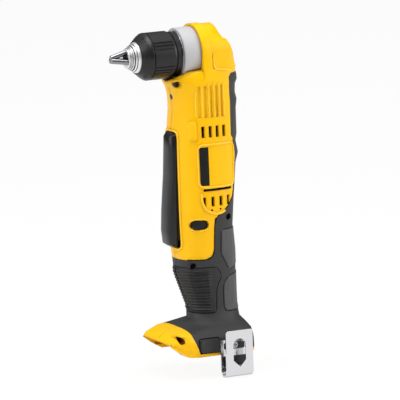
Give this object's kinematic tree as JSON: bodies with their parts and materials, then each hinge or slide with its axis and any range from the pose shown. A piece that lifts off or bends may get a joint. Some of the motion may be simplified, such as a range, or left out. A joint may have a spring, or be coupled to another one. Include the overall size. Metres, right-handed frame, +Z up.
{
  "type": "right angle drill",
  "caption": "Cordless right angle drill: upright barrel with paddle trigger, geared head, keyless chuck at a right angle, soft grip, open battery foot and side belt hook.",
  "frame": {"origin": "middle plane of the tool, at the bottom of the foot's battery rails", "axes": "+X out of the chuck, +Y to the tool's left, +Z up along the barrel"},
  "size_m": [0.1169, 0.0845, 0.3093],
  "materials": {
    "yellow_plastic": "fine moulded texture",
    "soft_grip": "soft matte overmould",
    "black_plastic": "moulded, slightly glossy",
    "steel": "machined",
    "bright_steel": "bright turned or plated",
    "satin_alloy": "satin cast",
    "bush_bronze": "sintered",
    "copper": "bare copper",
    "magnet": "dull grey",
    "lead_red": "insulated lead",
    "clear_lens": "clear lens",
    "white_plastic": "moulded"
  },
  "bodies": {
    "housing": {"housing_left": "yellow_plastic", "housing_right": "yellow_plastic", "grip_left": "soft_grip", "grip_right": "soft_grip", "name_strip": "black_plastic", "gear_case": "satin_alloy", "spindle_bush_front": "bush_bronze", "spindle_bush_rear": "bush_bronze", "pinion_bush": "bush_bronze", "ring_gear": "steel", "motor_plate": "steel", "motor_can": "steel", "motor_magnets": "magnet", "end_bell": "black_plastic", "motor_bush_upper": "bush_bronze", "motor_bush_lower": "bush_bronze", "brushes": "magnet", "switch_body": "black_plastic", "battery_leads": "lead_red", "motor_leads": "lead_red", "terminal_block": "black_plastic", "terminal_blades": "copper", "led_lens": "clear_lens", "paddle_pin": "steel", "housing_screws": "steel", "belt_hook": "bright_steel", "hook_screw": "steel", "accessory_insert": "bush_bronze"},
    "rotor": {"motor_shaft": "steel", "armature": "copper", "commutator": "copper", "fan": "black_plastic", "sun_gear": "steel"},
    "carrier": {"drive_shaft": "steel", "bevel_pinion": "steel", "planet_carrier": "steel"},
    "planet_one": {"planet_1": "steel"},
    "planet_two": {"planet_2": "steel"},
    "planet_three": {"planet_3": "steel"},
    "spindle": {"spindle": "steel", "bevel_gear": "steel", "chuck_body": "bright_steel", "chuck_screw": "steel", "dust_ring": "bright_steel", "chuck_rear_ring": "black_plastic"},
    "sleeve": {"chuck_sleeve": "black_plastic", "split_nut": "steel"},
    "jaw_one": {"jaw_1": "bright_steel"},
    "jaw_two": {"jaw_2": "bright_steel"},
    "jaw_three": {"jaw_3": "bright_steel"},
    "paddle": {"paddle": "black_plastic"},
    "plunger": {"switch_plunger": "white_plastic"},
    "direction_button": {"direction_button": "black_plastic"},
    "speed_selector": {"speed_selector": "black_plastic"}
  },
  "joints": [
    {"name": "rotor_spin", "type": "hinge", "parent": "housing", "child": "rotor", "pos_m": [0.003, 0, 0.17], "axis": [0, 0, 1], "continuous": true},
    {"name": "carrier_spin", "type": "hinge", "parent": "housing", "child": "carrier", "pos_m": [0.003, 0, 0.235], "axis": [0, 0, 1], "continuous": true},
    {"name": "spindle_spin", "type": "hinge", "parent": "housing", "child": "spindle", "pos_m": [0.02, 0, 0.265], "axis": [1, 0, 0], "continuous": true},
    {"name": "planet_one_spin", "type": "hinge", "parent": "carrier", "child": "planet_one", "pos_m": [0.0138, 0, 0.2145], "axis": [0, 0, 1], "continuous": true},
    {"name": "planet_two_spin", "type": "hinge", "parent": "carrier", "child": "planet_two", "pos_m": [-0.0024, 0.00935, 0.2145], "axis": [0, 0, 1], "continuous": true},
    {"name": "planet_three_spin", "type": "hinge", "parent": "carrier", "child": "planet_three", "pos_m": [-0.0024, -0.00935, 0.2145], "axis": [0, 0, 1], "continuous": true},
    {"name": "sleeve_turn", "type": "hinge", "parent": "spindle", "child": "sleeve", "pos_m": [0.048, 0, 0.265], "axis": [1, 0, 0], "range_deg": [0, 4387.5]},
    {"name": "jaw_one_slide", "type": "slide", "parent": "spindle", "child": "jaw_one", "axis": [-0.9659, 0, 0.2588], "range_m": [0, 0.01951]},
    {"name": "jaw_two_slide", "type": "slide", "parent": "spindle", "child": "jaw_two", "axis": [-0.9659, -0.2241, -0.1294], "range_m": [0, 0.01951]},
    {"name": "jaw_three_slide", "type": "slide", "parent": "spindle", "child": "jaw_three", "axis": [-0.9659, 0.2241, -0.1294], "range_m": [0, 0.01951]},
    {"name": "paddle_pull", "type": "hinge", "parent": "housing", "child": "paddle", "pos_m": [0.0275, 0, 0.1904], "axis": [0, 1, 0], "range_deg": [0, 4.5], "stiffness_Nm_per_rad": 5, "springref_deg": -1.72},
    {"name": "plunger_slide", "type": "slide", "parent": "housing", "child": "plunger", "axis": [1, 0, 0], "range_m": [-0.0072, 0]},
    {"name": "direction_slide", "type": "slide", "parent": "housing", "child": "direction_button", "axis": [0, 1, 0], "range_m": [-0.003, 0.003]},
    {"name": "speed_slide", "type": "slide", "parent": "housing", "child": "speed_selector", "axis": [0, 0, 1], "range_m": [0, 0.007]}
  ],
  "couplings": [
    {"joint": "carrier_spin", "follows": "rotor_spin", "ratio": 0.22222},
    {"joint": "spindle_spin", "follows": "rotor_spin", "ratio": 0.11111},
    {"joint": "planet_one_spin", "follows": "rotor_spin", "ratio": -0.62222},
    {"joint": "planet_two_spin", "follows": "rotor_spin", "ratio": -0.62222},
    {"joint": "planet_three_spin", "follows": "rotor_spin", "ratio": -0.62222},
    {"joint": "jaw_one_slide", "follows": "sleeve_turn", "m_per_rad": 0.00025465},
    {"joint": "jaw_two_slide", "follows": "sleeve_turn", "m_per_rad": 0.00025465},
    {"joint": "jaw_three_slide", "follows": "sleeve_turn", "m_per_rad": 0.00025465},
    {"joint": "plunger_slide", "follows": "paddle_pull", "m_per_rad": -0.0905}
  ]
}
